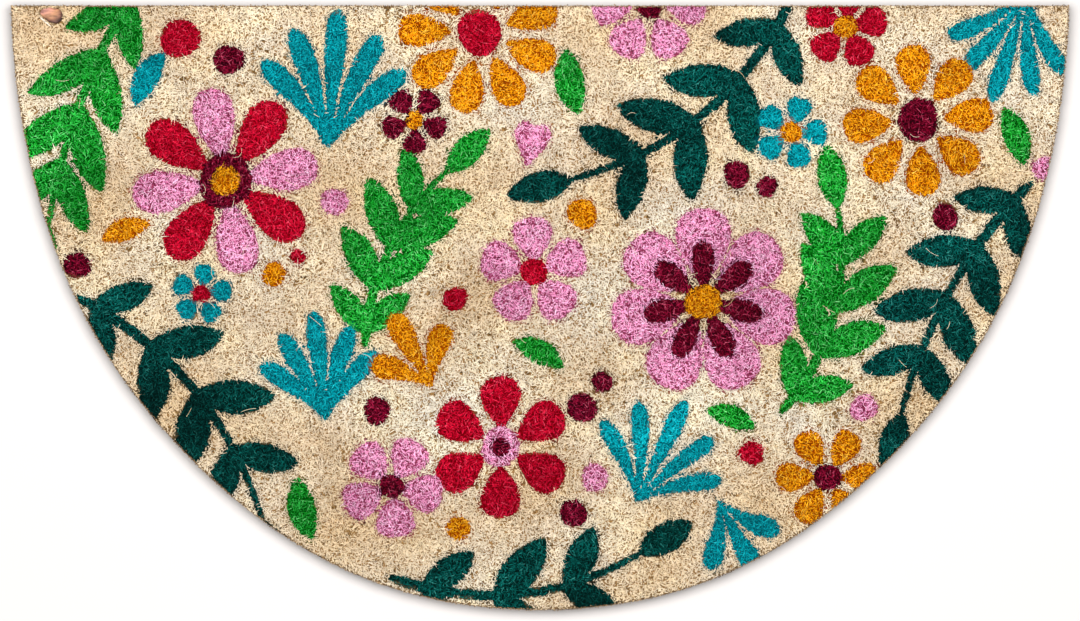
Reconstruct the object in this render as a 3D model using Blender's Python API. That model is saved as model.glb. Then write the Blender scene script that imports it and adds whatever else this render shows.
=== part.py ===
"""Half-round coir doormat: a dense coconut-fibre pile standing in a vinyl backing.

The mat lies flat on z = 0, with its straight side along +X at the back (+Y) and its curved side at
the front. All sizes are in metres.
"""
import math

import bmesh
import bpy

# Driving dimensions of the finished mat
MAT_WIDTH = 0.700
MAT_DEPTH = 0.400
MAT_HEIGHT = 0.015

# The vinyl sheet that the fibre stands in, and the parting between the two solids
BACKING_HEIGHT = 0.0025
PARTING = 0.0003

# The worn shoulder round the top of the pile
SHOULDER_RADIUS = 0.0020
SHOULDER_STEPS = 3

# The curved side is cut by hand: the knife wanders a little to either side of a true half ellipse
CUT_WANDER = 0.00075
CUT_WAVES = 9
CURVE_STEPS = 144

# Edges that turn more sharply than this stay crisp
CRISP_ANGLE = math.radians(40)

# Finishes: colour, roughness, metallic
VINYL_FINISH = ((0.175, 0.120, 0.065, 1.0), 0.62, 0.0)
COIR_FINISH = ((0.640, 0.500, 0.330, 1.0), 0.95, 0.0)


def clear_scene():
    """Removes whatever the file holds, so that the mat is all there is."""
    for thing in list(bpy.data.objects):
        bpy.data.objects.remove(thing, do_unlink=True)


def finish(name, values):
    """Makes a plain material from a colour, a roughness and a metallic value."""
    colour, roughness, metallic = values
    material = bpy.data.materials.new(name)
    material.use_nodes = True
    material.diffuse_color = colour
    shader = material.node_tree.nodes["Principled BSDF"]
    shader.inputs["Base Color"].default_value = colour
    shader.inputs["Roughness"].default_value = roughness
    shader.inputs["Metallic"].default_value = metallic
    return material


def cut_line():
    """The mat's outline, from the back left corner round the curve to the back right corner.

    The line that closes it is the straight side. The curve is a half ellipse about the middle of
    that side, and it wanders by CUT_WANDER. It is drawn in by that much at the front, so the
    ellipse reaches as much further.
    """
    half_width = MAT_WIDTH / 2
    back = MAT_DEPTH / 2
    reach = MAT_DEPTH + CUT_WANDER
    points = []
    for step in range(CURVE_STEPS + 1):
        turn = math.pi * step / CURVE_STEPS
        wander = -CUT_WANDER * math.sin(CUT_WAVES * turn)
        x = -(half_width + wander) * math.cos(turn)
        y = back - (reach + wander) * math.sin(turn)
        points.append((x, y))
    return points


def slab(name, outline, low, high):
    """A closed flat slab of the given outline between two heights."""
    shape = bmesh.new()
    rim = [shape.verts.new((x, y, low)) for x, y in outline]
    floor = shape.faces.new(rim)
    raised = bmesh.ops.extrude_face_region(shape, geom=[floor])
    lifted = [part for part in raised["geom"] if isinstance(part, bmesh.types.BMVert)]
    bmesh.ops.translate(shape, verts=lifted, vec=(0, 0, high - low))
    bmesh.ops.recalc_face_normals(shape, faces=shape.faces)
    mesh = bpy.data.meshes.new(name)
    shape.to_mesh(mesh)
    shape.free()
    mesh.shade_smooth()
    mesh.set_sharp_from_angle(angle=CRISP_ANGLE)
    piece = bpy.data.objects.new(name, mesh)
    bpy.context.scene.collection.objects.link(piece)
    return piece


def mark_top_edges(piece, height):
    """Gives the edges round the top face the full bevel weight, and no other edge any."""
    mesh = piece.data
    weights = mesh.attributes.new("bevel_weight_edge", "FLOAT", "EDGE")
    for edge in mesh.edges:
        ends = [mesh.vertices[index].co.z for index in edge.vertices]
        weights.data[edge.index].value = float(min(ends) > height - PARTING)


def make_backing():
    """The vinyl sheet: flat on the floor, cut square at its rim."""
    piece = slab("backing", cut_line(), 0.0, BACKING_HEIGHT)
    piece.data.materials.append(finish("vinyl", VINYL_FINISH))
    return piece


def make_pile():
    """The pile: level on top, upright at its cut sides, with a worn shoulder between the two."""
    piece = slab("coir_pile", cut_line(), BACKING_HEIGHT + PARTING, MAT_HEIGHT)
    piece.data.materials.append(finish("coir", COIR_FINISH))
    mark_top_edges(piece, MAT_HEIGHT)
    shoulder = piece.modifiers.new("worn shoulder", "BEVEL")
    shoulder.limit_method = "WEIGHT"
    shoulder.offset_type = "OFFSET"
    shoulder.width = SHOULDER_RADIUS
    shoulder.segments = SHOULDER_STEPS
    return piece


def make_mat():
    """Both pieces of the mat, placed under one empty at the middle of its underside."""
    mat = bpy.data.objects.new("doormat", None)
    bpy.context.scene.collection.objects.link(mat)
    for piece in (make_backing(), make_pile()):
        piece.parent = mat


clear_scene()
make_mat()
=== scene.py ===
"""The look of a half-round coir doormat: printed coconut fibre standing in a vinyl backing.

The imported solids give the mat's place and size. Lengths are in metres and the print's own sizes in
millimetres, with the straight side at +Y and the pile facing +Z.
"""
import math
from typing import NamedTuple

import bmesh
import bpy
import numpy as np
from mathutils import Matrix, Vector
from mathutils.geometry import delaunay_2d_cdt


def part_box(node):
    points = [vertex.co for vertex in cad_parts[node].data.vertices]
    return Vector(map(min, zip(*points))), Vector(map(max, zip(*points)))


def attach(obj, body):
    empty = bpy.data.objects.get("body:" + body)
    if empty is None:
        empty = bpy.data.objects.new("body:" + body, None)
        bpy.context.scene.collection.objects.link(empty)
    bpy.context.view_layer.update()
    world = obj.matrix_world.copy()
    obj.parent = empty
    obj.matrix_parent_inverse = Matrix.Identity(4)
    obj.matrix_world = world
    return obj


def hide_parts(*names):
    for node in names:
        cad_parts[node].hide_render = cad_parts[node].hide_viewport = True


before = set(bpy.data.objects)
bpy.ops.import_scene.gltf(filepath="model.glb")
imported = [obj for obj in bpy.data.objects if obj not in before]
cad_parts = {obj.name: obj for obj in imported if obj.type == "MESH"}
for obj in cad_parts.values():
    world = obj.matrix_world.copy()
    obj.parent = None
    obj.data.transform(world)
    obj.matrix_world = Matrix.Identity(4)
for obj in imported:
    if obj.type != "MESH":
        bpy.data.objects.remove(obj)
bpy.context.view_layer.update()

MM = 0.001
# Keeps a division from reaching zero
TINY = 1e-9
rng = np.random.default_rng(seed=70)

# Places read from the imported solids
PILE_LOW, PILE_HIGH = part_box("coir_pile")
BACKING_LOW, BACKING_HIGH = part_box("backing")
HALF_WIDTH = (PILE_HIGH[0] - PILE_LOW[0]) / 2
BACK_EDGE = PILE_HIGH[1]
DEPTH = PILE_HIGH[1] - PILE_LOW[1]
PILE_FOOT = PILE_LOW[2]
PILE_TOP = PILE_HIGH[2]

# The curved side's cut wanders about a true half ellipse, as in the solids
CUT_WANDER = 0.75 * MM
CUT_WAVES = 9
CURVE_STEPS = 720

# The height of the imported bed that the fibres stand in, and how far inside the cut they keep
BED_TOP = PILE_TOP - 3.4 * MM
RIM_ROOM = 0.35 * MM


# Shader and geometry node trees


class Wire:
    """One output of a node. Arithmetic on it adds Math nodes."""

    def __init__(self, graph, socket):
        self.graph = graph
        self.socket = socket

    def __sub__(self, other):
        return self.graph.math("SUBTRACT", self, other)

    def __rsub__(self, other):
        return self.graph.math("SUBTRACT", other, self)

    def __mul__(self, other):
        return self.graph.math("MULTIPLY", self, other)

    def __truediv__(self, other):
        return self.graph.math("DIVIDE", self, other)

    def __rtruediv__(self, other):
        return self.graph.math("DIVIDE", other, self)

    __rmul__ = __mul__


class Graph:
    """A node tree under construction."""

    def __init__(self, tree):
        self.tree = tree

    def node(self, kind, settings=None, sockets=None, out=0):
        """Adds a node, sets what it is, fills its inputs and returns one of its outputs."""
        made = self.tree.nodes.new(kind)
        for key, value in (settings or {}).items():
            if key == "stops":
                self._set_stops(made.color_ramp, value)
            else:
                setattr(made, key, value)
        for key, value in (sockets or {}).items():
            self.fill(made.inputs[key], value)
        return Wire(self, made.outputs[out])

    def fill(self, socket, value):
        """Links a wire into a socket, or sets a plain value on it."""
        if isinstance(value, Wire):
            self.tree.links.new(value.socket, socket)
        else:
            socket.default_value = value

    def math(self, operation, first, second=0.0):
        return self.node("ShaderNodeMath", {"operation": operation}, {0: first, 1: second})

    def vector(self, operation, *values):
        return self.node("ShaderNodeVectorMath", {"operation": operation}, dict(enumerate(values)))

    def scaled(self, colour, amount):
        """A colour or vector times a varying value."""
        sockets = {0: colour, "Scale": amount}
        return self.node("ShaderNodeVectorMath", {"operation": "SCALE"}, sockets)

    @staticmethod
    def _set_stops(ramp, stops):
        while len(ramp.elements) < len(stops):
            ramp.elements.new(1.0)
        for element, (place, colour) in zip(ramp.elements, stops):
            element.position = place
            element.color = (*colour, 1.0)


# The values between which a noise mostly lies
NOISE_RUN = (0.3, 0.7)


class Finish(Graph):
    """One material on a Principled shader."""

    def __init__(self, name, **constants):
        self.material = bpy.data.materials.new(name)
        self.material.use_nodes = True
        super().__init__(self.material.node_tree)
        self.shader = self.tree.nodes["Principled BSDF"]
        self.set(**constants)

    def set(self, **values):
        """Fills inputs of the shader, each named with underscores for spaces."""
        for name, value in values.items():
            self.fill(self.shader.inputs[name.replace("_", " ")], value)

    def place(self):
        return self.node("ShaderNodeTexCoord", out="Object")

    def attribute(self, name, out="Fac"):
        return self.node("ShaderNodeAttribute", {"attribute_name": name}, out=out)

    def noise(self, scale, detail=2.0, stretch=(1.0, 1.0, 1.0), shift=(0.0, 0.0, 0.0)):
        """Noise with a scale in lumps for each metre of the mat."""
        sockets = {"Vector": self.place(), "Scale": stretch, "Location": shift}
        place = self.node("ShaderNodeMapping", sockets=sockets)
        sockets = {"Vector": place, "Scale": scale, "Detail": detail}
        return self.node("ShaderNodeTexNoise", sockets=sockets)

    def mix(self, factor, first, second, blend="MIX"):
        settings = {"data_type": "RGBA", "blend_type": blend}
        return self.node("ShaderNodeMix", settings, {0: factor, 6: first, 7: second}, out=2)

    def ramp(self, factor, stops):
        return self.node("ShaderNodeValToRGB", {"stops": stops}, {0: factor})

    def span(self, value, low, high, to_low=0.0, to_high=1.0):
        sockets = dict(enumerate((value, low, high, to_low, to_high)))
        return self.node("ShaderNodeMapRange", sockets=sockets)

    def run(self, noise, low, high):
        """A noise spread from low to high."""
        return self.span(noise, *NOISE_RUN, low, high)

    def bump(self, height, strength, distance):
        sockets = {"Height": height, "Strength": strength, "Distance": distance}
        return self.node("ShaderNodeBump", sockets=sockets)


def linear(red, green, blue):
    """A screen colour, 0 to 255, as light, by the standard screen curve."""
    shares = (value / 255 for value in (red, green, blue))
    return tuple(s / 12.92 if s <= 0.04045 else ((s + 0.055) / 1.055) ** 2.4 for s in shares)


# The mat's outline


def cut_reach(turn):
    """How wide and how deep the cut's ellipse is at turns round it."""
    wander = -CUT_WANDER * np.sin(CUT_WAVES * turn)
    return HALF_WIDTH + wander, DEPTH + CUT_WANDER + wander


def cut_curve():
    """Points along the curved cut, from the back left corner to the back right one."""
    turn = np.linspace(0, math.pi, CURVE_STEPS + 1)
    wide, deep = cut_reach(turn)
    return np.stack((-wide * np.cos(turn), BACK_EDGE - deep * np.sin(turn)), 1)


def clearance(x, y):
    """How far points lie inside the cut. It is negative outside."""
    wide, deep = cut_reach(np.arctan2((BACK_EDGE - y) / DEPTH, -x / HALF_WIDTH))
    across = x / wide
    down = (BACK_EDGE - y) / deep
    ratio = np.hypot(across, down) + TINY
    slope = np.hypot(across / wide, down / deep) / ratio
    return np.minimum((1 - ratio) / slope, BACK_EDGE - y)


def resampled(points, pitch):
    """Points at an even pitch along a line of points."""
    steps = np.hypot(*np.diff(points, axis=0).T)
    run = np.concatenate(((0,), np.cumsum(steps)))
    count = max(int(round(run[-1] / pitch)), 2)
    want = np.linspace(0, run[-1], count + 1)
    return np.stack([np.interp(want, run, points[:, axis]) for axis in (0, 1)], 1)


def rim_line(pitch):
    """The whole outline as a closed ring: round the curve, then back along the straight side."""
    curve = resampled(cut_curve(), pitch)
    straight = resampled(np.array((curve[-1], curve[0])), pitch)
    return np.concatenate((curve[:-1], straight[:-1]))


def pulled_in(ring, amount):
    """A closed ring moved inwards by an amount, or by one for each point."""
    run = np.roll(ring, -1, axis=0) - np.roll(ring, 1, axis=0)
    run /= np.hypot(*run.T)[:, None]
    inward = np.stack((-run[:, 1], run[:, 0]), 1)
    return ring + inward * np.broadcast_to(amount, len(ring))[:, None]


# The print: flat motifs in millimetres, each an ink and an outline. Later ones lie on top.

INKS = ("plain", "dark_green", "green", "turquoise", "ochre", "pink", "red", "burgundy")

# Points along each side of a blade, and round a spot
BLADE_STEPS = 26
SPOT_STEPS = 28

# Where on a twig, from 0 to 1, the pairs of leaves end and the tip leaf starts
PAIRS_END = 0.94
TIP_LEAF_START = 0.97

# Half widths along a motif's spine, from its root at 0 to its tip at 1
PROFILES = {
    "leaf": lambda t: np.sin(math.pi * t) ** 0.72,
    "petal": lambda t: 1.62 * t**0.75 * np.sqrt(1 - t**2.2),
    "lobe": lambda t: 0.14 * (1 - t**8) + 1.5 * t**1.5 * np.sqrt(1 - t**3),
    "stalk": lambda t: (1.15 - 0.5 * t) * np.sqrt(1 - (2 * t - 1) ** 14),
}


def away(point, reach, way):
    """The point at a reach from another, in a direction in degrees."""
    turn = math.radians(way)
    return point[0] + reach * math.cos(turn), point[1] + reach * math.sin(turn)


def spine(root, tip, bow, t):
    """Points and directions, in degrees, along a bowed line."""
    root, tip = np.array(root, float), np.array(tip, float)
    along = tip - root
    middle = (root + tip) / 2 + np.array((-along[1], along[0])) * bow
    t = np.atleast_1d(t)[:, None]
    points = (1 - t) ** 2 * root + 2 * t * (1 - t) * middle + t**2 * tip
    run = 2 * (1 - t) * (middle - root) + 2 * t * (tip - middle)
    return points, np.degrees(np.arctan2(run[:, 1], run[:, 0]))


def blade(ink, root, tip, width, bow=0.0, form="leaf"):
    """A leaf, petal, lobe or stalk on a bowed spine."""
    t = (1 - np.cos(np.linspace(0, math.pi, BLADE_STEPS))) / 2
    points, ways = spine(root, tip, bow, t)
    out = np.radians(ways + 90)
    half = (width / 2 * PROFILES[form](t))[:, None] * np.stack((np.cos(out), np.sin(out)), 1)
    return ink, np.concatenate((points + half, (points - half)[::-1]))


def dot(ink, x, y, radius):
    """A round spot, a little out of true."""
    turn = np.linspace(0, 2 * math.pi, SPOT_STEPS, endpoint=False)
    reach = radius * (1 + 0.05 * np.sin(2 * turn + x) + 0.03 * np.sin(3 * turn + y))
    return ink, np.stack((x + reach * np.cos(turn), y + reach * np.sin(turn)), 1)


def daisy(x, y, reach, petals, way, inks, width, eye, gap):
    """A ring of petals, their inks in turn, round an eye of one or more spots."""
    ring = []
    for i in range(petals):
        turn = way + 360 * i / petals
        ends = away((x, y), reach * gap, turn), away((x, y), reach, turn)
        ring.append(blade(inks[i % len(inks)], *ends, width, 0.0, "petal"))
    return ring + [dot(ink, x, y, radius) for ink, radius in eye]


def branch(ink, root, tip, bow, pairs, leaf, width, first, spread, thick):
    """A bowed twig with leaves in pairs and one at its tip."""
    twig = [blade(ink, root, tip, thick, bow, "stalk")]
    for i in range(pairs):
        t = first + (PAIRS_END - first) * i / pairs
        (point,), (way,) = spine(root, tip, bow, t)
        # The leaves are longest a little before half way
        size = 1.0 - 0.32 * abs(2 * t - 0.85)
        for hand in (1, -1):
            end = away(point, leaf * size, way + hand * spread)
            twig.append(blade(ink, point, end, width * size, -0.1 * hand))
    (point,), (way,) = spine(root, tip, bow, TIP_LEAF_START)
    twig.append(blade(ink, point, away(point, leaf * 0.8, way), width * 0.85))
    return twig


def fan(ink, x, y, way, reach, lobes, gape, width):
    """Round-headed lobes that open from one foot, the outer ones shorter and bowed outwards."""
    spray = []
    for i in range(lobes):
        off = 2 * i / (lobes - 1) - 1
        size = reach * (1 - 0.22 * abs(off))
        end = away((x, y), size, way + gape * off)
        spray.append(blade(ink, (x, y), end, width, -0.12 * off, "lobe"))
    return spray


def heart(ink, x, y, size, way):
    """Two petals that share a foot."""
    foot = away((x, y), size * 0.55, way + 180)
    ends = [(away((x, y), size * 0.62, way + hand * 34), hand) for hand in (1, -1)]
    return [blade(ink, foot, end, size * 0.62, -0.16 * hand, "petal") for end, hand in ends]


# Each row: ink, root, tip, bow, pairs of leaves, leaf length, leaf width, first pair, spread, twig
BRANCHES = (
    ("dark_green", (-308, 8), (-182, -146), 0.22, 4, 56, 24, 0.06, 48, 6.6),
    ("dark_green", (166, 204), (16, 84), 0.24, 4, 57, 24, 0.08, 48, 6.6),
    ("dark_green", (326, 84), (238, -74), -0.14, 4, 54, 23, 0.08, 48, 6.6),
    ("dark_green", (-100, -178), (70, -160), -0.24, 3, 52, 24, 0.12, 48, 6.6),
    ("green", (-266, 214), (-326, 50), -0.1, 4, 64, 23, 0.05, 34, 6.2),
    ("green", (-116, -26), (-60, 92), 0.2, 4, 52, 22, 0.06, 42, 6.2),
    ("green", (158, -70), (196, 70), -0.25, 4, 54, 23, 0.08, 40, 6.2),
)

# Each row: ink, x, y, direction, reach, lobes, half the opening, lobe width
FANS = (
    ("turquoise", -140, 106, 86, 92, 5, 42, 17),
    ("turquoise", -142, -74, 96, 72, 5, 44, 15),
    ("turquoise", 64, -128, 64, 74, 5, 50, 14),
    ("turquoise", 322, 208, -108, 76, 5, 44, 14),
    ("turquoise", 118, -128, -62, 58, 3, 36, 16),
    ("ochre", -72, -52, 118, 54, 3, 42, 19),
)

# Each row: x, y, reach, petals, turn, petal inks, petal width, eye, how far out the petals start
DAISIES = (
    (-208, 84, 62, 8, 10, ("pink", "red"), 30, (("burgundy", 18), ("ochre", 10)), 0.22),
    (108, 4, 62, 7, 90, ("pink",), 40, (), 0.20),
    (108, 4, 40, 7, 90, ("burgundy",), 16, (("ochre", 12),), 0.16),
    (-40, 182, 54, 9, 18, ("ochre",), 24, (("red", 15),), 0.34),
    (250, 124, 50, 8, 5, ("ochre",), 25, (("burgundy", 14),), 0.34),
    (-26, -92, 47, 6, 30, ("red",), 29, (("pink", 13), ("burgundy", 6)), 0.27),
    (-4, 24, 36, 5, 20, ("pink",), 29, (("red", 9),), 0.20),
    (-98, -118, 34, 5, 60, ("pink",), 28, (("burgundy", 8),), 0.20),
    (190, -112, 34, 6, 0, ("ochre",), 21, (("burgundy", 9),), 0.25),
    (202, 186, 28, 5, 10, ("red",), 22, (("ochre", 8),), 0.20),
    (72, 200, 38, 6, 0, ("pink",), 28, (("burgundy", 9),), 0.28),
    (166, 116, 24, 5, 0, ("turquoise",), 18, (("ochre", 7),), 0.25),
    (-224, 9, 20, 5, 10, ("turquoise",), 15, (("red", 6),), 0.25),
    (-83, 124, 22, 5, 54, ("burgundy",), 17, (("ochre", 6),), 0.25),
)

# Each row: ink, x, y, length, width, direction
LOOSE_LEAVES = (
    ("green", 26, 128, 44, 20, 100),
    ("turquoise", -268, 134, 40, 17, 60),
    ("green", -150, -153, 42, 19, 104),
    ("green", -18, -22, 38, 16, -28),
    ("green", 306, 132, 40, 18, -70),
    ("green", 110, -68, 34, 15, -20),
    ("ochre", -290, 44, 34, 15, 20),
)

# By ink: x, y, radius
DOTS = {
    "burgundy": (
        (-306, 28, 9), (-206, 164, 10), (268, 60, 9), (22, -136, 9), (130, 88, 9), (150, 80, 7),
        (28, -66, 10), (41, -49, 7), (-108, -68, 9),
    ),
    "red": ((-238, 178, 13), (-160, 34, 5), (140, -96, 8), (-56, 6, 8)),
    "ochre": ((28, 62, 10), (-176, 22, 8), (-54, -146, 8)),
    "pink": ((-136, 70, 9), (36, -112, 9), (214, -66, 9), (334, 92, 8)),
}


def printed_shapes():
    """Every flat shape of the print, in the order it is laid down."""
    shapes = []
    for row in BRANCHES:
        shapes += branch(*row)
    for row in FANS:
        shapes += fan(*row)
    for row in DAISIES:
        shapes += daisy(*row)
    for ink, x, y, length, width, way in LOOSE_LEAVES:
        shapes.append(blade(ink, (x, y), away((x, y), length, way), width, 0.12))
    shapes += heart("pink", -6, 108, 26, 80)
    shapes += [dot(ink, *spot) for ink, spots in DOTS.items() for spot in spots]
    return shapes


def points_within(outline, x, y):
    """The indices of the points inside an outline, by counting the edges to their right."""
    low, high = outline.min(0), outline.max(0)
    near = np.flatnonzero((x > low[0]) & (x < high[0]) & (y > low[1]) & (y < high[1]))
    px, py = x[near], y[near]
    odd = np.zeros(len(near), bool)
    for (ax, ay), (bx, by) in zip(np.roll(outline, 1, axis=0), outline):
        if ay != by:
            crosses = (ay > py) != (by > py)
            odd ^= crosses & (px < (bx - ax) * (py - ay) / (by - ay) + ax)
    return near[odd]


SHAPES = printed_shapes()


def ink_at(x, y):
    """The index in INKS of what is printed at points given in metres."""
    x, y = x / MM, y / MM
    found = np.zeros(len(x), int)
    for ink, outline in SHAPES:
        found[points_within(outline, x, y)] = INKS.index(ink)
    return found


# Fibre finishes, from the deepest fibre at 0 to the palest at 1: each stop and its screen colour. The
# near black lowest stops, which the dark fibres take, are partly painted shade
FIBRE_TONES = {
    "plain": (
        (0.0, 42, 26, 12), (0.05, 126, 96, 56), (0.1, 226, 203, 162), (0.26, 236, 222, 194),
        (0.42, 236, 217, 183), (0.6, 239, 224, 197), (0.8, 238, 223, 190), (1.0, 239, 227, 204),
    ),
    "dark_green": (
        (0.0, 0, 20, 18), (0.16, 0, 45, 40), (0.5, 3, 76, 70), (0.85, 14, 107, 99), (1.0, 58, 142, 133),
    ),
    "green": (
        (0.0, 0, 40, 2), (0.12, 0, 109, 10), (0.5, 29, 171, 50), (0.85, 61, 195, 84),
        (1.0, 134, 223, 140),
    ),
    "turquoise": (
        (0.0, 0, 66, 75), (0.12, 0, 133, 144), (0.5, 3, 162, 174), (0.85, 16, 177, 188),
        (1.0, 34, 193, 202),
    ),
    "ochre": (
        (0.0, 88, 26, 0), (0.12, 204, 113, 4), (0.5, 240, 160, 12), (0.85, 246, 178, 34),
        (1.0, 250, 201, 82),
    ),
    "pink": (
        (0.0, 62, 0, 24), (0.1, 216, 109, 162), (0.3, 244, 154, 199), (0.5, 250, 170, 212),
        (0.8, 252, 188, 222), (1.0, 252, 213, 233),
    ),
    "red": (
        (0.0, 90, 0, 4), (0.12, 147, 0, 16), (0.5, 197, 7, 43), (0.85, 218, 27, 63), (1.0, 234, 80, 105),
    ),
    "burgundy": (
        (0.0, 34, 0, 4), (0.12, 64, 0, 12), (0.5, 114, 4, 34), (0.85, 154, 26, 62), (1.0, 206, 94, 120),
    ),
    # The cut sides: browner coir, partly its natural brown and partly painted shade, which darkens the
    # edge seen from above
    "rim": ((0.0, 76, 55, 36), (0.5, 166, 137, 102), (1.0, 212, 184, 146)),
}

# What shows in the gaps between the fibres, by ink: darker than the fibres, partly the tint of the ink
# and coir low in the pile and partly painted shade down between the fibres
GAP_TONES = {
    "plain": (148, 115, 72),
    "dark_green": (0, 25, 23),
    "green": (0, 70, 6),
    "turquoise": (2, 82, 93),
    "ochre": (134, 57, 0),
    "pink": (128, 48, 76),
    "red": (108, 0, 10),
    "burgundy": (42, 2, 12),
}

# How much the ink takes unevenly over some centimetres
CLOUD_SPREAD = {
    "plain": 1.12,
    "dark_green": 3.8,
    "green": 1.9,
    "turquoise": 1.8,
    "ochre": 1.4,
    "pink": 0.85,
    "red": 1.2,
    "burgundy": 1.2,
    "rim": 1.0,
}

# Lumps for each metre in the noises that vary the fibre: clouds, greyer and more golden husk,
# wisps, and the grain along a fibre that is unprinted or printed
CLOUD_SCALE = 15.0
HUSK_SCALE = 30.0
WISP_SCALE = 75.0
BARE_GRAIN = 600.0
INKED_GRAIN = 1000.0

# How much the wisps and the grain vary the colour of a fibre that is unprinted or printed
BARE_WISP, INKED_WISP = 0.06, 0.03
BARE_SPECKLE, INKED_SPECKLE = 0.05, 0.42

# Where in the noise of its clouds the mat lies
CLOUD_SHIFT = (6.1, 8.5, 0.0)

# How much darker and lighter than the mean the clouds are at a spread of 1
CLOUD_DARK = 0.21
CLOUD_LIGHT = 0.16

# The powers of red, green and blue by which the unprinted coir's darker clouds are browner
BROWNING = (0.45, 1.0, 1.75)

# The tints of the greyer and of the more golden husk
GREYER = (0.962, 1.005, 1.115, 1.0)
GOLDEN = (1.038, 0.995, 0.895, 1.0)

# Painted shade along a fibre, from its foot at 0 to its cut end at 1: the end is darker, which holds
# down the highlight where the light falls on the ends
FIBRE_SHADES = ((0.0, 1.0), (0.4, 1.0), (0.85, 0.95), (1.0, 0.84))

# Painted light: in front of this line the pile is painted a little darker, and from it to the straight
# side it is painted paler and paler, standing for light that is stronger there
PAINTED_LIGHT_FROM = -20 * MM
PAINTED_FRONT_SHADE, PAINTED_BACK_LIGHT = 0.975, 1.062


def cloud_tint(paint, ink):
    """A tint that drifts over some centimetres between a darker and a lighter one."""
    spread = CLOUD_SPREAD[ink]
    powers = BROWNING if ink == "plain" else (1.0, 1.0, 1.0)
    shade, light = 1.0 - CLOUD_DARK * spread, 1.0 + CLOUD_LIGHT * spread
    return paint.mix(
        paint.run(paint.noise(CLOUD_SCALE, 4.0, shift=CLOUD_SHIFT), 0.0, 1.0),
        (*(shade**power for power in powers), 1.0),
        (*(light**power for power in powers), 1.0),
    )


def fibre_finish(ink):
    """Coir of one ink: each fibre has a tone and painted shade at its cut end, and lies in cloudy
    patches, with painted light paler towards the straight side.
    """
    paint = Finish(f"coir_{ink}", Specular_IOR_Level=0.03)
    stops = [(place, linear(*colour)) for place, *colour in FIBRE_TONES[ink]]
    colour = paint.ramp(paint.attribute("tone"), stops)
    colour = paint.mix(1.0, colour, cloud_tint(paint, ink), "MULTIPLY")
    # Ink takes unevenly along each fibre, and unprinted fibre differs from patch to patch
    bare = ink in ("plain", "rim")
    wave = BARE_WISP if bare else INKED_WISP * CLOUD_SPREAD[ink]
    wisp = paint.run(paint.noise(WISP_SCALE), 1.0 - wave, 1.0 + wave)
    grain = paint.noise(BARE_GRAIN if bare else INKED_GRAIN)
    uneven = BARE_SPECKLE if bare else INKED_SPECKLE
    speckle = paint.run(grain, 1.0 - uneven, 1.0 + uneven)
    # Painted shade: darker towards each fibre's cut end
    foot = paint.ramp(paint.attribute("along"), [(place, (v, v, v)) for place, v in FIBRE_SHADES])
    # Painted light: darker in front of a line, and paler and paler from it to the straight side
    depth = paint.node("ShaderNodeSeparateXYZ", sockets={0: paint.place()}, out="Y")
    painted_light_gradient = paint.span(depth, PAINTED_LIGHT_FROM, BACK_EDGE, PAINTED_FRONT_SHADE, PAINTED_BACK_LIGHT)
    if ink == "plain":
        # Some of the husk is greyer and some more golden
        golden = paint.span(paint.noise(HUSK_SCALE, 4.0, shift=CLOUD_SHIFT), 0.34, 0.66)
        colour = paint.mix(1.0, colour, paint.mix(golden, GREYER, GOLDEN), "MULTIPLY")
    paint.set(Base_Color=paint.scaled(colour, foot * wisp * speckle * painted_light_gradient))
    paint.set(Roughness=paint.run(grain, 0.70, 0.92))
    paint.set(Normal=paint.bump(grain, 0.3, 0.1 * MM))
    return paint.material


# Strands: one is modelled, and geometry nodes stand it on every root


def mesh_from(shape, name, smooth=True):
    """A mesh made from a bmesh, which is freed."""
    mesh = bpy.data.meshes.new(name)
    shape.to_mesh(mesh)
    shape.free()
    if smooth:
        mesh.shade_smooth()
    return mesh


def link(name, data):
    """A new object in the scene."""
    made = bpy.data.objects.new(name, data)
    bpy.context.scene.collection.objects.link(made)
    return made


def add_field(mesh, name, kind, values):
    """Stores one value or vector for each point of a mesh."""
    field = mesh.attributes.new(name, kind, "POINT")
    key = {"FLOAT_VECTOR": "vector", "FLOAT_COLOR": "color"}.get(kind, "value")
    field.data.foreach_set(key, np.ascontiguousarray(values).ravel())


# How far a strand of unit width reaches from its middle line, at its cut end and below it
END_REACH = 0.57
SHANK_REACH = 0.42

# A strand's patch of its map, of unit size: how far up it the rings reach, and where the three corners
# of a ring lie, across it and above the ring
PATCH_HEIGHT = 0.88
PATCH_CORNERS = ((0.0, 0.0), (1.0, 0.0), (0.5, 0.12))

# How much of its cell in the piece's own map a patch fills, and the margin before it
CELL_FILL = 0.86
CELL_MARGIN = 0.07


def strand_mesh(name, rings):
    """A three-sided strand of unit length and width, up +Z, from a pointed foot to a cut end.

    rings are the heights of its rings of corners. "along" runs from foot to end. "strand_uv" has
    one place for each corner, so that all the sides share a patch and no face of it is thin.
    """
    shape = bmesh.new()
    along = shape.verts.layers.float.new("along")
    foot = shape.verts.new((0, 0, 0))
    places = {foot: (0.5, 0.0)}
    rows = []
    for height in rings:
        reach = END_REACH if height == rings[-1] else SHANK_REACH
        row = []
        for k, (u, rise) in enumerate(PATCH_CORNERS):
            turn = math.radians(120 * k)
            corner = shape.verts.new((reach * math.cos(turn), reach * math.sin(turn), height))
            corner[along] = height
            places[corner] = (u, PATCH_HEIGHT * height + rise)
            row.append(corner)
        rows.append(row)
    for k in range(3):
        after = (k + 1) % 3
        shape.faces.new((foot, rows[0][k], rows[0][after]))
        for low, high in zip(rows, rows[1:]):
            shape.faces.new((low[k], low[after], high[after], high[k]))
    shape.faces.new(rows[-1])
    bmesh.ops.recalc_face_normals(shape, faces=shape.faces)
    patch = shape.loops.layers.uv.new("strand_uv")
    for face in shape.faces:
        for loop in face.loops:
            loop[patch].uv = places[loop.vert]
    return bpy.data.objects.new(name, mesh_from(shape, name, smooth=False))


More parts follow.
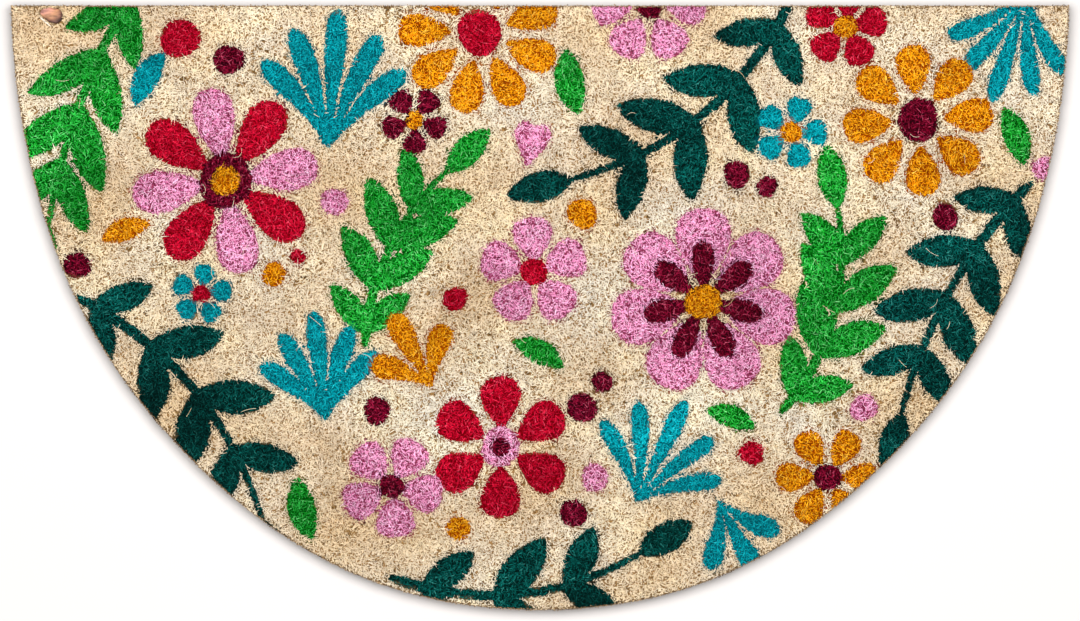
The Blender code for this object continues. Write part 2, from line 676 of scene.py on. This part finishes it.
def strand_tree():
    """Geometry nodes that stand a strand on every root point and bend it.

    The root points carry "turn", "size", "bend", "tone" and "bent".
    """
    tree = bpy.data.node_groups.new("standing strands", "GeometryNodeTree")
    face = tree.interface
    face.new_socket("Geometry", in_out="INPUT", socket_type="NodeSocketGeometry")
    for name, kind in (
        ("Straight strand", "NodeSocketObject"),
        ("Bent strand", "NodeSocketObject"),
        ("Cells across", "NodeSocketInt"),
        ("Finish", "NodeSocketMaterial"),
    ):
        face.new_socket(name, in_out="INPUT", socket_type=kind)
    face.new_socket("Geometry", in_out="OUTPUT", socket_type="NodeSocketGeometry")
    graph = Graph(tree)
    given = tree.nodes.new("NodeGroupInput")

    def read(name, kind):
        settings = {"data_type": kind}
        return graph.node("GeometryNodeInputNamedAttribute", settings, {"Name": name})

    def store(geometry, name, kind, domain, value):
        settings = {"data_type": kind, "domain": domain}
        sockets = {"Geometry": geometry, "Name": name, "Value": value}
        return graph.node("GeometryNodeStoreNamedAttribute", settings, sockets)

    def supplied(name):
        return Wire(graph, given.outputs[name])

    across = supplied("Cells across")
    index = graph.node("GeometryNodeInputIndex")
    column = graph.math("MODULO", index, across)
    row = graph.math("FLOOR", index / across)
    cell = graph.node("ShaderNodeCombineXYZ", sockets={0: column, 1: row})
    roots = store(supplied("Geometry"), "cell", "FLOAT_VECTOR", "POINT", cell)
    bent = read("bent", "BOOLEAN")
    straight = graph.node("FunctionNodeBooleanMath", {"operation": "NOT"}, {0: bent})
    turn = graph.node("FunctionNodeEulerToRotation", sockets={0: read("turn", "FLOAT_VECTOR")})
    joined = tree.nodes.new("GeometryNodeJoinGeometry")
    for name, chosen in (("Straight strand", straight), ("Bent strand", bent)):
        sockets = {"Object": supplied(name)}
        strand = graph.node("GeometryNodeObjectInfo", sockets=sockets, out="Geometry")
        sockets = {"Points": roots, "Selection": chosen, "Instance": strand}
        sockets |= {"Rotation": turn, "Scale": read("size", "FLOAT_VECTOR")}
        placed = graph.node("GeometryNodeInstanceOnPoints", sockets=sockets)
        tree.links.new(placed.socket, joined.inputs[0])
    made = Wire(graph, joined.outputs[0])
    made = graph.node("GeometryNodeRealizeInstances", sockets={0: made})
    along = read("along", "FLOAT")
    bow = graph.scaled(read("bend", "FLOAT_VECTOR"), along * (1.0 - along))
    made = graph.node("GeometryNodeSetPosition", sockets={"Geometry": made, "Offset": bow})
    # Each strand's patch goes to a cell of its own in the map that takes the baked finish
    fill, margin = (CELL_FILL, CELL_FILL, 0.0), (CELL_MARGIN, CELL_MARGIN, 0.0)
    inner = graph.vector("MULTIPLY_ADD", read("strand_uv", "FLOAT_VECTOR"), fill, margin)
    spot = graph.vector("ADD", inner, read("cell", "FLOAT_VECTOR"))
    wide = graph.node("ShaderNodeCombineXYZ", sockets={0: across, 1: across, 2: 1.0})
    made = store(made, "OFBake", "FLOAT2", "CORNER", graph.vector("DIVIDE", spot, wide))
    for name in ("cell", "turn", "size", "bend", "bent", "strand_uv"):
        sockets = {"Geometry": made, "Name": name}
        made = graph.node("GeometryNodeRemoveAttribute", sockets=sockets)
    sockets = {"Geometry": made, "Material": supplied("Finish")}
    made = graph.node("GeometryNodeSetMaterial", sockets=sockets)
    result = tree.nodes.new("NodeGroupOutput")
    tree.links.new(made.socket, result.inputs[0])
    return tree


STRAIGHT_STRAND = strand_mesh("straight_strand", (1.0,))
BENT_STRAND = strand_mesh("bent_strand", (0.45, 1.0))
LONG_STRAND = strand_mesh("long_strand", (0.12, 0.35, 0.6, 0.82, 1.0))
STRAND_TREE = strand_tree()


class Strands(NamedTuple):
    """Strands to be grown: where each is rooted, how it is turned, and what it is like."""

    root: np.ndarray
    turn: np.ndarray
    size: np.ndarray
    bend: np.ndarray
    tone: np.ndarray
    bent: np.ndarray

    def picked(self, rows):
        return Strands(*(field[rows] for field in self))

    def joined(self, others):
        return Strands(*(np.concatenate(pair) for pair in zip(self, others)))


def turned(lean, way):
    """Turns that lean strands over, each in its own direction."""
    return np.column_stack((np.zeros(len(lean)), lean, way))


def sized(width, length):
    return np.column_stack((width, width, length))


def bowed(way, bow, rise):
    """Bends to one side of the direction that a strand leans in, and upwards."""
    return np.column_stack((-np.sin(way) * bow, np.cos(way) * bow, rise))


def grow(name, finish, strands, bent_strand=BENT_STRAND):
    """One piece of fibres, made a plain mesh."""
    mesh = bpy.data.meshes.new(name + "_roots")
    mesh.vertices.add(len(strands.root))
    mesh.vertices.foreach_set("co", np.ascontiguousarray(strands.root, np.float32).ravel())
    add_field(mesh, "turn", "FLOAT_VECTOR", strands.turn)
    add_field(mesh, "size", "FLOAT_VECTOR", strands.size)
    add_field(mesh, "bend", "FLOAT_VECTOR", strands.bend)
    add_field(mesh, "tone", "FLOAT", strands.tone)
    add_field(mesh, "bent", "BOOLEAN", strands.bent)
    holder = link(name + "_roots", mesh)
    maker = holder.modifiers.new("strands", "NODES")
    maker.node_group = STRAND_TREE
    values = {
        "Straight strand": STRAIGHT_STRAND,
        "Bent strand": bent_strand,
        "Cells across": math.ceil(math.sqrt(len(strands.root))),
        "Finish": finish,
    }
    for item in STRAND_TREE.interface.items_tree:
        if item.in_out == "INPUT" and item.name in values:
            maker[item.identifier] = values[item.name]
    graph = bpy.context.evaluated_depsgraph_get()
    grown = bpy.data.meshes.new_from_object(holder.evaluated_get(graph))
    grown.name = name
    bpy.data.objects.remove(holder)
    return link(name, grown)


# The fibre of the tread

# The pitch of the tips in a row, the share of it between rows, and the share by which each is moved
TIP_PITCH = 1.115 * MM
ROW_SHARE = 0.9
TIP_SHAKE = 0.55

# Tufts that lean together, and how far fibres stray from their tuft in its neat and messy places
TUFT_PITCH = 7.0 * MM
MESS_PITCH = 60 * MM
NEAT_STRAY = 0.55
MESSY_STRAY = 1.5

# A fibre's lean from upright, and the shares of it that are left to dark fibres and along an edge
LEAN, LEAN_SPREAD = math.radians(42), math.radians(15)
LEAN_RANGE = (0.1, 1.3)
DARK_LEAN = 0.2
EDGE_LEAN = 0.6
# The lean of a fibre that has no room for more
UPRIGHT = 0.12

# How far from an ink's edge the fibres lie along it, so that the edge is clean, and how they stray
EDGE_REACH = 1.5 * MM
EDGE_PROBES = 8
EDGE_STRAY = 0.5

# A fibre's width, the least and most of it, the share that is left where ink mats it, and the least
# and most length
STRAND_WIDTH = 0.68 * MM
WIDTH_RANGE = (0.72, 1.28)
INKED_WIDTH = 0.84
STRAND_LENGTHS = (3 * MM, 6.5 * MM)

# How far below the tread tips end: at random, where they are dark, and more and more at the rim
TIP_SINK = 0.42 * MM
DARK_SINK = 0.4 * MM
SHOULDER_DROP = 1.0 * MM
SHOULDER_REACH = 2 * MM
# How far the feet reach into the bed
FOOT_DEPTH = 0.6 * MM

# The share of fibres that are bent, how far, and how much of that upwards
BENT_SHARE = 0.04
BEND_REACH = 1.6 * MM
BEND_RISE = 0.4

# Dark fibres, whose near black is uninked coir deepened by painted shade of the pits that they stand in:
# the least share of them, and what the densest places add, by ink
LEAST_DARK = 0.02
DARK_SHARE = {"plain": 0.29, "pink": 0.22, "ochre": 0.22}
USUAL_DARK_SHARE = 0.12
# The pitch of the small pits that they make in the unprinted coir, and of the dense places
PIT_PITCH = 1.35 * MM
DENSE_PITCHES = (14 * MM, 45 * MM)

# The shapes of the beta distributions of the tones, and the highest tone of a dark fibre
INKED_TONES = (1.7, 1.45)
BARE_TONES = (1.8, 1.6)
MOST_DARK_TONE = 0.04
# The least tone of the others, and the painted shade by which a fibre's tone falls for each millimetre
# that its tip is sunk
LEAST_TONE = 0.08
SINK_SHADE = 0.12
# Painted shade at the rim: near it a fibre keeps a share of its tone: the least, and where it starts to
# grow and over what width it does, in millimetres inside the cut
RIM_SHADE_SHARE = 0.15
RIM_SHADE_FROM = 0.35
RIM_SHADE_WIDTH = 1.2

# How far back from a fibre's tip its ink is read off the print, as a share of its run along the tread
INK_RUN = 0.2

# Thin hairs that lie on the tread, and unprinted fibres shed on it: how many, their lengths and tones
HAIRS = (6000, (2.5 * MM, 6 * MM), (0.8, 1.0))
STRAYS = (80, (5 * MM, 11 * MM), (0.02, 0.5))
LAID_LEAN, LAID_LEAN_SPREAD = math.radians(88), math.radians(3)
# Their widths, how far they sink and how far they arch, in millimetres, and their bend by length
LAID_WIDTHS = (0.20, 0.32)
LAID_SINK = (0.0, 0.3)
LAID_ARCH = (0, 1.2)
LAID_BOW = 0.55

# The most strands that one piece holds
MOST_STRANDS = 42000


def tip_places():
    """Tip points over the whole pile: a staggered grid, shaken."""
    wide = np.arange(-HALF_WIDTH, HALF_WIDTH, TIP_PITCH)
    deep = np.arange(-DEPTH / 2, DEPTH / 2, TIP_PITCH * ROW_SHARE)
    x, y = np.meshgrid(wide, deep)
    x[1::2] += TIP_PITCH / 2
    x = (x + rng.uniform(-TIP_SHAKE, TIP_SHAKE, x.shape) * TIP_PITCH).ravel()
    y = (y + rng.uniform(-TIP_SHAKE, TIP_SHAKE, y.shape) * TIP_PITCH).ravel()
    inside = clearance(x, y) > RIM_ROOM
    return x[inside], y[inside]


def patchy(x, y, pitch):
    """A smooth random value, 0 to 1, for each point, that changes over about the given pitch."""
    net = rng.random((math.ceil(2 * HALF_WIDTH / pitch) + 3, math.ceil(DEPTH / pitch) + 3))
    u = (x + HALF_WIDTH) / pitch + 1
    v = (y + DEPTH / 2) / pitch + 1
    i, j = np.floor(u).astype(int), np.floor(v).astype(int)
    u, v = u - i, v - j
    u, v = u * u * (3 - 2 * u), v * v * (3 - 2 * v)
    near = net[i, j] * (1 - u) + net[i + 1, j] * u
    far = net[i, j + 1] * (1 - u) + net[i + 1, j + 1] * u
    return near * (1 - v) + far * v


def tuft_ways(x, y):
    """A lean direction for each point, which turns slowly from tuft to tuft."""
    across = patchy(x, y, TUFT_PITCH) - 0.5
    down = patchy(x, y, TUFT_PITCH) - 0.5
    mess = NEAT_STRAY + MESSY_STRAY * patchy(x, y, MESS_PITCH)
    return np.arctan2(down, across) + mess * rng.normal(0, 1, len(x))


def ink_edge(x, y, here):
    """Which points are close to the edge of what is printed, and the direction across that edge."""
    pull = np.zeros((2, len(x)))
    for turn in np.arange(EDGE_PROBES) * 2 * math.pi / EDGE_PROBES:
        step = np.array((math.cos(turn), math.sin(turn)))
        other = ink_at(x + EDGE_REACH * step[0], y + EDGE_REACH * step[1]) != here
        pull += step[:, None] * other
    return np.hypot(*pull) > 0.5, np.arctan2(pull[1], pull[0])


def dark_ones(x, y, here):
    """Which fibres are dark, with painted shade: small pits in the unprinted coir, and single fibres in
    an ink.
    """
    dense = sum(0.5 * patchy(x, y, pitch) for pitch in DENSE_PITCHES)
    share = np.array([DARK_SHARE.get(name, USUAL_DARK_SHARE) for name in INKS])[here]
    pits = patchy(x, y, PIT_PITCH)
    single = rng.random(len(x))
    return np.where(here > 0, single, pits) < LEAST_DARK + share * dense


def stances(x, y, here):
    """The direction and the lean of each fibre, and whether it is dark."""
    way = tuft_ways(x, y)
    lean = np.clip(rng.normal(LEAN, LEAN_SPREAD, len(x)), *LEAN_RANGE)
    dark = dark_ones(x, y, here)
    lean = np.where(dark, lean * DARK_LEAN, lean)
    lined, across = ink_edge(x, y, here)
    way = np.where(lined, across + math.pi * (rng.integers(0, 2, len(x)) - 0.5), way)
    way += np.where(lined, rng.normal(0, EDGE_STRAY, len(x)), 0.0)
    lean = np.where(lined, lean * EDGE_LEAN, lean)
    return way, lean, dark


def behind(x, y, way, reach):
    """Where fibres are at a reach back from their tips, flat on the mat."""
    return x - reach * np.cos(way), y - reach * np.sin(way)


def feet_kept_in(x, y, way, lean, length):
    """Turns back each fibre whose foot would fall outside the cut, and stands it up if that fails."""

    def outside(way):
        return clearance(*behind(x, y, way, length * np.sin(lean))) < RIM_ROOM

    way = np.where(outside(way), way + math.pi, way)
    return way, np.where(outside(way), UPRIGHT, lean)


def strand_tones(here, sunk, dark, inside):
    """A tone for each fibre, with painted shade where it is sunk and at the rim, and lowest where it is
    dark, as painted shade of a pit.
    """
    count = len(here)
    tone = np.where(here > 0, rng.beta(*INKED_TONES, count), rng.beta(*BARE_TONES, count))
    # Painted shade where the tip is sunk
    tone = np.clip(0.1 + 0.9 * tone - SINK_SHADE * sunk / MM, LEAST_TONE, 1)
    # Painted shade: dark fibres take a near black tone for the pits that they stand in
    tone = np.where(dark, MOST_DARK_TONE * rng.random(count) ** 2, tone)
    # Painted shade near the rim
    deep = np.clip((inside / MM - RIM_SHADE_FROM) / RIM_SHADE_WIDTH, 0, 1)
    return tone * (RIM_SHADE_SHARE + (1 - RIM_SHADE_SHARE) * deep)


def tread_fibres():
    """The standing fibres whose tips are the tread, and the index of the ink on each."""
    x, y = tip_places()
    count = len(x)
    here = ink_at(x, y)
    inside = clearance(x, y)
    way, lean, dark = stances(x, y, here)
    sunk = np.abs(rng.normal(0, TIP_SINK, count)) + DARK_SINK * dark
    shoulder = np.clip(1 - inside / SHOULDER_REACH, 0, 1)
    tip_z = PILE_TOP - sunk - SHOULDER_DROP * shoulder**2
    length = np.clip((tip_z - BED_TOP + FOOT_DEPTH) / np.cos(lean), *STRAND_LENGTHS)
    way, lean = feet_kept_in(x, y, way, lean, length)
    flat = length * np.sin(lean)
    root = np.column_stack((*behind(x, y, way, flat), tip_z - length * np.cos(lean)))
    width = STRAND_WIDTH * rng.uniform(*WIDTH_RANGE, count) * np.where(here > 0, INKED_WIDTH, 1.0)
    bent = rng.random(count) < BENT_SHARE
    bow = rng.uniform(-1, 1, count) * BEND_REACH * bent
    bend = bowed(way, bow, np.abs(bow) * BEND_RISE)
    tone = strand_tones(here, sunk, dark, inside)
    ink = ink_at(*behind(x, y, way, INK_RUN * flat))
    return Strands(root, turned(lean, way), sized(width, length), bend, tone, bent), ink


def laid_hairs(count, lengths, tones):
    """Thin hairs that lie curled on the tread, and where the middle of each is."""
    spots = rng.uniform(-1, 1, (4 * count, 2)) * (HALF_WIDTH, DEPTH / 2)
    x, y = spots[clearance(*spots.T) > lengths[1]][:count].T
    way = rng.uniform(0, 2 * math.pi, count)
    length = rng.uniform(*lengths, count)
    lean = rng.normal(LAID_LEAN, LAID_LEAN_SPREAD, count)
    root = np.column_stack((x, y, PILE_TOP - rng.uniform(*LAID_SINK, count) * MM))
    width = rng.uniform(*LAID_WIDTHS, count) * MM
    bow = rng.normal(0, LAID_BOW, count) * length
    bend = bowed(way, bow, rng.uniform(*LAID_ARCH, count) * MM)
    tone = rng.uniform(*tones, count)
    bent = np.ones(count, bool)
    middle = 0.5 * length * np.stack((np.cos(way), np.sin(way))) + 0.25 * bend[:, :2].T
    hairs = Strands(root, turned(lean, way), sized(width, length), bend, tone, bent)
    return hairs, (x + middle[0], y + middle[1])


def standing_pile(finishes):
    """All the fibre of the tread, one piece or more for each ink."""
    strands, ink = tread_fibres()
    hairs, spots = laid_hairs(*HAIRS)
    strands = strands.joined(hairs)
    ink = np.concatenate((ink, ink_at(*spots)))
    pieces = []
    for number, name in enumerate(INKS):
        chosen = np.flatnonzero(ink == number)
        parts = math.ceil(len(chosen) / MOST_STRANDS)
        for part in range(parts):
            label = f"coir_{name}" + (f"_{part + 1}" if parts > 1 else "")
            pieces.append(grow(label, finishes[name], strands.picked(chosen[part::parts])))
    return pieces


def stray_fibres(finish):
    """Unprinted fibres that were shed and lie on the tread."""
    return grow("stray_fibres", finish, laid_hairs(*STRAYS)[0], LONG_STRAND)


# The bed that the fibres stand in: a closed, lumpy slab whose top shows between them

# The pitch of its net, the share of it between rows, and the share kept clear along the rim
BED_PITCH = 3.8 * MM
BED_ROW_SHARE = 0.87
BED_CLEAR = 0.8
# Points closer than this are one
MERGE_GAP = 1e-7

# How far inside the cut its top and its sides lie, and how much further in its sides stray
BED_INSET = 0.9 * MM
SIDE_INSET = 0.5 * MM
SIDE_STRAY = 0.35 * MM
# How many rings of corners its sides have, and how far below its top the next one would be
SIDE_LEVELS = 5
SIDE_DROP = 1.0 * MM
# How uneven its top is, in millimetres
TOP_STRAY = 0.5
# Points of the bed below this are at its sides, where no ink reaches
INK_FLOOR = BED_TOP - 0.8 * MM


def bed_finish():
    """Packed coir low in the pile: streaked upright at the sides, tinted under the print, and darkened
    by painted shade between the fibres.
    """
    paint = Finish("coir_bed", Specular_IOR_Level=0.03)
    dye = paint.attribute("dye", "Color")
    # The grain streaks the colour and darkens it where its bump sinks: partly the grain of the coir and
    # partly painted shade between packed fibres
    grain = paint.noise(900.0, 3.0, (1.0, 1.0, 0.12))
    paint.set(Base_Color=paint.scaled(dye, paint.run(grain, 0.55, 1.45)))
    paint.set(Roughness=paint.run(grain, 0.85, 1.0))
    paint.set(Normal=paint.bump(grain, 0.9, 0.5 * MM))
    return paint.material


def bed_net(ring):
    """The corners and faces of a fine triangle net that fills a ring."""
    x, y = np.meshgrid(
        np.arange(-HALF_WIDTH, HALF_WIDTH, BED_PITCH),
        np.arange(-DEPTH / 2, DEPTH / 2, BED_PITCH * BED_ROW_SHARE),
    )
    x[1::2] += BED_PITCH / 2
    x, y = x.ravel(), y.ravel()
    deep = clearance(x, y) > BED_INSET + BED_PITCH * BED_CLEAR
    points = [Vector(p) for p in np.concatenate((ring, np.stack((x[deep], y[deep]), 1)))]
    edges = [(i, (i + 1) % len(ring)) for i in range(len(ring))]
    net = delaunay_2d_cdt(points, edges, [list(range(len(ring)))], 1, MERGE_GAP)
    return np.array([tuple(p) for p in net[0]]), net[2]


def band(shape, below, above):
    """Faces between two closed rows of corners."""
    for i in range(len(below)):
        j = (i + 1) % len(below)
        shape.faces.new((below[i], below[j], above[j], above[i]))


def tint_and_shade_bed(mesh):
    """Stores the tone of the gaps, with its painted shade, at each point of the bed, after the print
    above it.
    """
    spots = np.empty(len(mesh.vertices) * 3)
    mesh.vertices.foreach_get("co", spots)
    spots = spots.reshape(-1, 3)
    steps = (-BED_PITCH / 3, 0.0, BED_PITCH / 3)
    ink = np.max([ink_at(spots[:, 0] + i, spots[:, 1] + j) for i in steps for j in steps], axis=0)
    ink[spots[:, 2] < INK_FLOOR] = 0
    tones = np.array([(*linear(*GAP_TONES[name]), 1.0) for name in INKS])
    add_field(mesh, "dye", "FLOAT_COLOR", tones[ink])


def pile_bed():
    """The bed, closed all round, with a fine triangle net on top."""
    rim = rim_line(BED_PITCH)
    places, faces = bed_net(pulled_in(rim, BED_INSET))
    height = BED_TOP + rng.uniform(-TOP_STRAY, TOP_STRAY, len(places)) * MM
    shape = bmesh.new()
    top = [shape.verts.new((*p, z)) for p, z in zip(places, height)]
    for face in faces:
        shape.faces.new([top[i] for i in face])
    above = top[: len(rim)]
    for level in range(SIDE_LEVELS - 1, -1, -1):
        z = PILE_FOOT + (BED_TOP - SIDE_DROP - PILE_FOOT) * level / SIDE_LEVELS
        out = pulled_in(rim, SIDE_INSET + SIDE_STRAY * rng.random(len(rim)))
        line = [shape.verts.new((*p, z)) for p in out]
        band(shape, line, above)
        above = line
    shape.faces.new(above[::-1])
    bmesh.ops.recalc_face_normals(shape, faces=shape.faces)
    mesh = mesh_from(shape, "pile_bed")
    tint_and_shade_bed(mesh)
    mesh.materials.append(bed_finish())
    return link("pile_bed", mesh)


# Upright fibre round the cut sides

RIM_PITCH = 0.62 * MM
# Each row of strands, in millimetres: how far inside the cut, and how far its tips end below the tread
RIM_ROWS = ((0.30, 1.7), (0.85, 1.2))
# How far they stray to each side, how high their feet start and how wide they are, in millimetres
RIM_SHAKE = 0.25
RIM_FEET = (0, 0.2)
RIM_WIDTHS = (0.55, 0.95)
# How far the tips sink below their row's height and how far the bent ones bend
RIM_SINK = 0.5 * MM
RIM_BEND = 0.5 * MM
RIM_BENT_SHARE = 0.5
# The lean from upright, its most, and the shape of the beta distribution of the tones
RIM_LEAN, MOST_RIM_LEAN = 0.035, 0.06
RIM_TONES = (1.8, 2.2)


def rim_fibres(finish):
    """Strands that stand side by side at the cut, from the vinyl to the shoulder."""
    ring = rim_line(RIM_PITCH)
    rows = []
    for inset, drop in RIM_ROWS:
        at = pulled_in(ring, (inset + RIM_SHAKE * rng.uniform(-1, 1, len(ring))) * MM)
        rows.append(np.column_stack((at, np.full(len(at), drop * MM))))
    spots = np.concatenate(rows)
    count = len(spots)
    spots[:, :2] += rng.uniform(-RIM_SHAKE, RIM_SHAKE, (count, 2)) * MM
    foot = PILE_FOOT + rng.uniform(*RIM_FEET, count) * MM
    top = PILE_TOP - spots[:, 2] - np.abs(rng.normal(0, RIM_SINK, count))
    root = np.column_stack((spots[:, :2], foot))
    lean = np.minimum(np.abs(rng.normal(0, RIM_LEAN, count)), MOST_RIM_LEAN)
    turn = turned(lean, rng.uniform(0, 2 * math.pi, count))
    size = sized(rng.uniform(*RIM_WIDTHS, count) * MM, top - foot)
    bend = rng.normal(0, RIM_BEND, (count, 3)) * (1, 1, 0)
    tone = rng.beta(*RIM_TONES, count)
    bent = rng.random(count) < RIM_BENT_SHARE
    return grow("rim_fibres", finish, Strands(root, turn, size, bend, tone, bent))


# A fleck of husk caught in the pile near a corner


def husk_finish():
    """Husk skin: pinkish tan with fine lines along it, pale at the sliver, dark round the right and
    front of the flake's rim.
    """
    paint = Finish("husk_skin", Roughness=0.55, Specular_IOR_Level=0.3)
    lines = paint.noise(480.0, 4.0, (0.35, 1.0, 1.0))
    stops = (
        (0.0, linear(228, 214, 196)),
        (0.1, linear(190, 130, 116)),
        (0.3, linear(176, 124, 88)),
        (0.5, linear(134, 90, 68)),
        (0.7, linear(84, 52, 42)),
        (1.0, linear(44, 24, 22)),
    )
    skin = paint.ramp(paint.attribute("tone"), stops)
    paint.set(Base_Color=paint.scaled(skin, paint.span(lines, 0.35, 0.65, 0.5, 1.3)))
    paint.set(Normal=paint.bump(lines, 1.0, 0.9 * MM))
    return paint.material


# Where the fleck and its sliver lie, how they are turned, and their sizes, the fleck's in mm
FLECK_PLACE = (-HALF_WIDTH + 27.0 * MM, BACK_EDGE - 6.4 * MM, PILE_TOP + 0.2 * MM)
FLECK_TURN = math.radians(-16)
FLECK_TILT = math.radians(6)
FLECK_SIZE = (15.5, 12.5, 1.0)
FLECK_CURL = 1.9 * MM
SLIVER_PLACE = (-HALF_WIDTH + 23.0 * MM, BACK_EDGE - 11.0 * MM, PILE_TOP + 0.1 * MM)
SLIVER_TURN = math.radians(-41)
SLIVER_SIZE = (11.0 * MM, 1.0 * MM, 0.7 * MM)


def husk_fleck():
    """A thin curled flake, pointed at one end, half sunk among the tips, and a sliver beside it."""
    shape = bmesh.new()
    tone = shape.verts.layers.float.new("tone")
    flake = bmesh.ops.create_uvsphere(shape, u_segments=20, v_segments=12, radius=0.5)["verts"]
    long, wide, thick = FLECK_SIZE
    for corner in flake:
        x, y, z = corner.co
        taper = 0.78 + 0.44 * x + 0.05 * math.sin(17 * x + 9 * y)
        # Darker towards the broad end and the front, and darkest round the right and front of the rim
        rim = (4 * (x * x + y * y)) ** 1.4 * min(max(0.4 + 1.4 * (x - y), 0.0), 1.0)
        corner[tone] = min(max(0.28 + 0.42 * x - 0.2 * y + 0.55 * rim, 0.1), 1.0)
        curl = FLECK_CURL * (0.25 - x * x - y * y)
        corner.co = (x * long * MM, y * wide * MM * taper, z * thick * MM + curl)
    turn = Matrix.Rotation(FLECK_TURN, 4, "Z") @ Matrix.Rotation(FLECK_TILT, 4, "Y")
    bmesh.ops.transform(shape, matrix=Matrix.Translation(FLECK_PLACE) @ turn, verts=flake)
    sliver = bmesh.ops.create_uvsphere(shape, u_segments=8, v_segments=8, radius=0.5)["verts"]
    bmesh.ops.scale(shape, vec=SLIVER_SIZE, verts=sliver)
    turn = Matrix.Rotation(SLIVER_TURN, 4, "Z")
    bmesh.ops.transform(shape, matrix=Matrix.Translation(SLIVER_PLACE) @ turn, verts=sliver)
    mesh = mesh_from(shape, "husk_fleck")
    mesh.materials.append(husk_finish())
    return link("husk_fleck", mesh)


# The vinyl backing

VINYL_PITCH = 3.0 * MM
VINYL_LOW, VINYL_HIGH = BACKING_LOW[2], BACKING_HIGH[2]
# Each ring of its side: how far inside the cut, and how high
VINYL_RINGS = (
    (0.5 * MM, VINYL_LOW),
    (0.1 * MM, VINYL_LOW + 0.35 * MM),
    (0.0, (VINYL_LOW + VINYL_HIGH) / 2),
    (0.1 * MM, VINYL_HIGH - 0.3 * MM),
    (0.5 * MM, VINYL_HIGH),
)
CRISP_ANGLE = math.radians(30)


def vinyl_finish():
    """Matt olive tan vinyl, finely pebbled."""
    paint = Finish("pebbled_vinyl", Specular_IOR_Level=0.4)
    pebble = paint.node(
        "ShaderNodeTexVoronoi",
        {"feature": "SMOOTH_F1"},
        {"Vector": paint.place(), "Scale": 900.0, "Smoothness": 0.6},
        out="Distance",
    )
    cloud = paint.noise(30.0, 4.0)
    colour = paint.ramp(cloud, [(0.3, linear(104, 84, 58)), (0.7, linear(126, 102, 72))])
    paint.set(Base_Color=paint.scaled(colour, paint.span(pebble, 0.0, 0.8, 1.08, 0.82)))
    paint.set(Roughness=paint.run(cloud, 0.5, 0.66))
    paint.set(Normal=paint.bump(pebble, 0.5, 0.25 * MM))
    return paint.material


def vinyl_backing():
    """The backing sheet, with its rim a little rounded."""
    rim = rim_line(VINYL_PITCH)
    shape = bmesh.new()
    rings = []
    for inset, z in VINYL_RINGS:
        rings.append([shape.verts.new((*p, z)) for p in pulled_in(rim, inset)])
    for below, above in zip(rings, rings[1:]):
        band(shape, below, above)
    shape.faces.new(rings[0][::-1])
    shape.faces.new(rings[-1])
    bmesh.ops.recalc_face_normals(shape, faces=shape.faces)
    mesh = mesh_from(shape, "vinyl_backing")
    mesh.set_sharp_from_angle(angle=CRISP_ANGLE)
    mesh.materials.append(vinyl_finish())
    return link("vinyl_backing", mesh)


# Camera, floor and light

# What the picture spans at the tread, its middle in front of the mat's, and a long lens from far up
PICTURE_WIDTH = 0.714
PICTURE_MIDDLE = -1.8 * MM
LENS = 400.0
SENSOR = 36.0

FLOOR_HALF = 6.0
FLOOR_DROP = 0.2 * MM
FLOOR_COLOUR = (0.624, 0.597, 0.582, 1.0)

LIGHT_PLACE = (0.0, 0.27, 2.5)
LIGHT_ACROSS, LIGHT_ALONG = 2.7, 2.1
LIGHT_POWER = 129.6
WORLD_LIGHT = 0.08


def add_camera():
    """A camera straight above, which takes in the whole mat."""
    data = bpy.data.cameras.new("camera")
    data.lens = LENS
    data.sensor_width = SENSOR
    data.clip_start = 0.01
    camera = link("camera", data)
    camera.location = (0.0, PICTURE_MIDDLE, PILE_TOP + PICTURE_WIDTH * LENS / SENSOR)
    bpy.context.scene.camera = camera


def add_floor():
    """A plain pale floor just under the vinyl."""
    shape = bmesh.new()
    bmesh.ops.create_grid(shape, x_segments=1, y_segments=1, size=FLOOR_HALF)
    mesh = mesh_from(shape, "floor", smooth=False)
    mesh.materials.append(Finish("pale_floor", Base_Color=FLOOR_COLOUR, Roughness=0.9).material)
    floor = link("floor", mesh)
    floor.location.z = -FLOOR_DROP
    return floor


def add_light():
    """One large soft source overhead, a little towards the straight side."""
    data = bpy.data.lights.new("soft_box", "AREA")
    data.shape = "ELLIPSE"
    data.size = LIGHT_ACROSS
    data.size_y = LIGHT_ALONG
    data.energy = LIGHT_POWER
    light = link("soft_box", data)
    light.location = LIGHT_PLACE
    light.rotation_euler = Vector(LIGHT_PLACE).to_track_quat("Z", "Y").to_euler()


def set_world():
    """A little white light from all round."""
    world = bpy.data.worlds.new("studio")
    world.use_nodes = True
    back = world.node_tree.nodes["Background"]
    back.inputs["Color"].default_value = (1.0, 1.0, 1.0, 1.0)
    back.inputs["Strength"].default_value = WORLD_LIGHT
    bpy.context.scene.world = world


# The whole mat and its studio, in this order so that the random draws stay the same

finishes = {ink: fibre_finish(ink) for ink in INKS}
fibres = standing_pile(finishes)
strays = stray_fibres(finishes["plain"])
bed = pile_bed()
rim = rim_fibres(fibre_finish("rim"))
fleck = husk_fleck()
backing = vinyl_backing()

add_camera()
floor = add_floor()
add_light()
set_world()
bpy.context.scene.view_settings.view_transform = "Standard"


# How the pieces ride

loose = (*fibres, strays, fleck, rim)
for piece in (*loose, bed):
    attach(piece, "root")
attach(backing, "root")
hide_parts("coir_pile")
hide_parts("backing")
